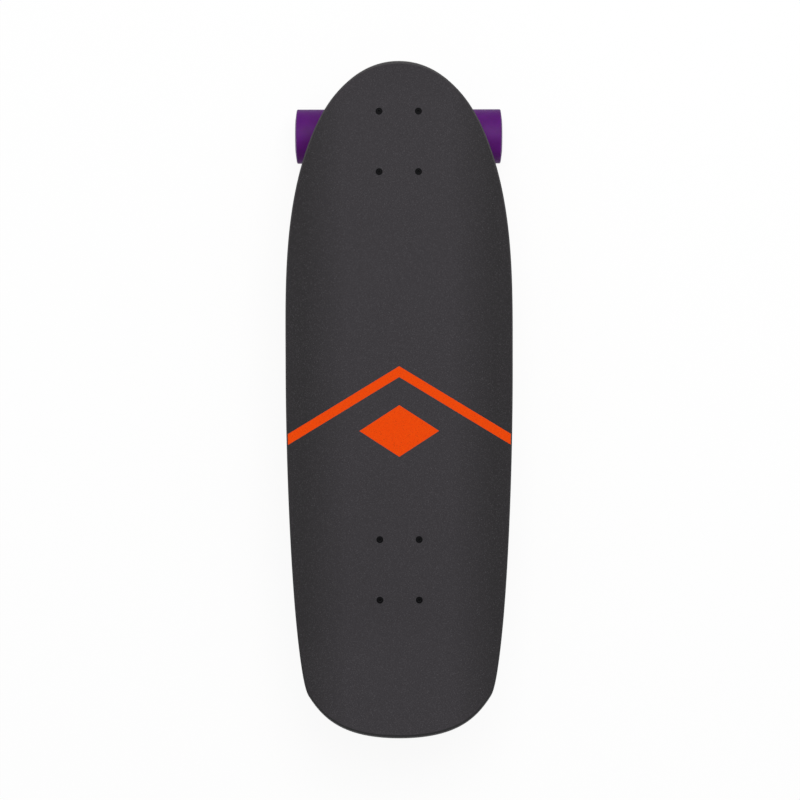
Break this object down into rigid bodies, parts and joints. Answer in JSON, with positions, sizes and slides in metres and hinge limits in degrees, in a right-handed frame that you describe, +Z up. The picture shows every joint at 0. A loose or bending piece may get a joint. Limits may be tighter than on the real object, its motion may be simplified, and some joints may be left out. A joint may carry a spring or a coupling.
{
  "type": "cruiser skateboard",
  "caption": "Cruiser skateboard: wide pressed wooden deck with rounded nose and kicktail, striped grip tape, leaning kingpin trucks and soft wheels that spin on ball bearings.",
  "frame": {"origin": "on the ground, under the middle of the deck's length and width", "axes": "+X to the rider's right when facing the nose, +Y towards the nose, +Z up"},
  "size_m": [0.2384, 0.7086, 0.1332],
  "materials": {
    "maple": "clear lacquer",
    "grip": "coarse dark grit with orange print",
    "riser_rubber": "matt moulded rubber",
    "cast_aluminium": "tumbled casting",
    "zinc_steel": "zinc plated",
    "black_steel": "black oxide",
    "wheel_urethane": "satin poured urethane",
    "bushing_urethane": "satin poured urethane",
    "cup_plastic": "moulded plastic",
    "bearing_steel": "polished"
  },
  "bodies": {
    "board": {"deck": "maple", "grip_tape": "grip", "front_riser_pad": "riser_rubber", "front_baseplate": "cast_aluminium", "front_pivot_cup": "cup_plastic", "front_kingpin": "zinc_steel", "front_kingpin_nut": "zinc_steel", "front_lower_washer": "zinc_steel", "front_lower_bushing": "bushing_urethane", "front_upper_bushing": "bushing_urethane", "front_upper_washer": "zinc_steel", "rear_riser_pad": "riser_rubber", "rear_baseplate": "cast_aluminium", "rear_pivot_cup": "cup_plastic", "rear_kingpin": "zinc_steel", "rear_kingpin_nut": "zinc_steel", "rear_lower_washer": "zinc_steel", "rear_lower_bushing": "bushing_urethane", "rear_upper_bushing": "bushing_urethane", "rear_upper_washer": "zinc_steel", "front_bolt_nose_left": "black_steel", "front_bolt_nose_right": "black_steel", "front_bolt_tail_left": "black_steel", "front_bolt_tail_right": "black_steel", "rear_bolt_nose_left": "black_steel", "rear_bolt_nose_right": "black_steel", "rear_bolt_tail_left": "black_steel", "rear_bolt_tail_right": "black_steel", "front_nut_nose_left": "zinc_steel", "front_nut_nose_right": "zinc_steel", "front_nut_tail_left": "zinc_steel", "front_nut_tail_right": "zinc_steel", "rear_nut_nose_left": "zinc_steel", "rear_nut_nose_right": "zinc_steel", "rear_nut_tail_left": "zinc_steel", "rear_nut_tail_right": "zinc_steel"},
    "front_truck": {"front_hanger": "cast_aluminium", "front_axle": "zinc_steel", "front_left_axle_washer": "zinc_steel", "front_left_axle_nut": "zinc_steel", "front_right_axle_washer": "zinc_steel", "front_right_axle_nut": "zinc_steel"},
    "rear_truck": {"rear_hanger": "cast_aluminium", "rear_axle": "zinc_steel", "rear_left_axle_washer": "zinc_steel", "rear_left_axle_nut": "zinc_steel", "rear_right_axle_washer": "zinc_steel", "rear_right_axle_nut": "zinc_steel"},
    "front_left_roller": {"front_left_wheel": "wheel_urethane", "front_left_outer_bearing": "bearing_steel", "front_left_inner_bearing": "bearing_steel"},
    "front_right_roller": {"front_right_wheel": "wheel_urethane", "front_right_outer_bearing": "bearing_steel", "front_right_inner_bearing": "bearing_steel"},
    "rear_left_roller": {"rear_left_wheel": "wheel_urethane", "rear_left_outer_bearing": "bearing_steel", "rear_left_inner_bearing": "bearing_steel"},
    "rear_right_roller": {"rear_right_wheel": "wheel_urethane", "rear_right_outer_bearing": "bearing_steel", "rear_right_inner_bearing": "bearing_steel"}
  },
  "joints": [
    {"name": "front_lean", "type": "hinge", "parent": "board", "child": "front_truck", "pos_m": [0, 0.255, 0.0467], "axis": [0, 0.8829, 0.4695], "range_deg": [-15, 15], "stiffness_Nm_per_rad": 80, "deforming": ["front_lower_bushing", "front_upper_bushing"]},
    {"name": "rear_lean", "type": "hinge", "parent": "board", "child": "rear_truck", "pos_m": [0, -0.16592, 0.0467], "axis": [0, -0.8829, 0.4695], "range_deg": [-15, 15], "stiffness_Nm_per_rad": 80, "deforming": ["rear_lower_bushing", "rear_upper_bushing"]},
    {"name": "front_left_spin", "type": "hinge", "parent": "front_truck", "child": "front_left_roller", "pos_m": [-0.0882, 0.28104, 0.029], "axis": [1, 0, 0], "continuous": true},
    {"name": "front_right_spin", "type": "hinge", "parent": "front_truck", "child": "front_right_roller", "pos_m": [0.0882, 0.28104, 0.029], "axis": [1, 0, 0], "continuous": true},
    {"name": "rear_left_spin", "type": "hinge", "parent": "rear_truck", "child": "rear_left_roller", "pos_m": [-0.0882, -0.19196, 0.029], "axis": [1, 0, 0], "continuous": true},
    {"name": "rear_right_spin", "type": "hinge", "parent": "rear_truck", "child": "rear_right_roller", "pos_m": [0.0882, -0.19196, 0.029], "axis": [1, 0, 0], "continuous": true}
  ]
}
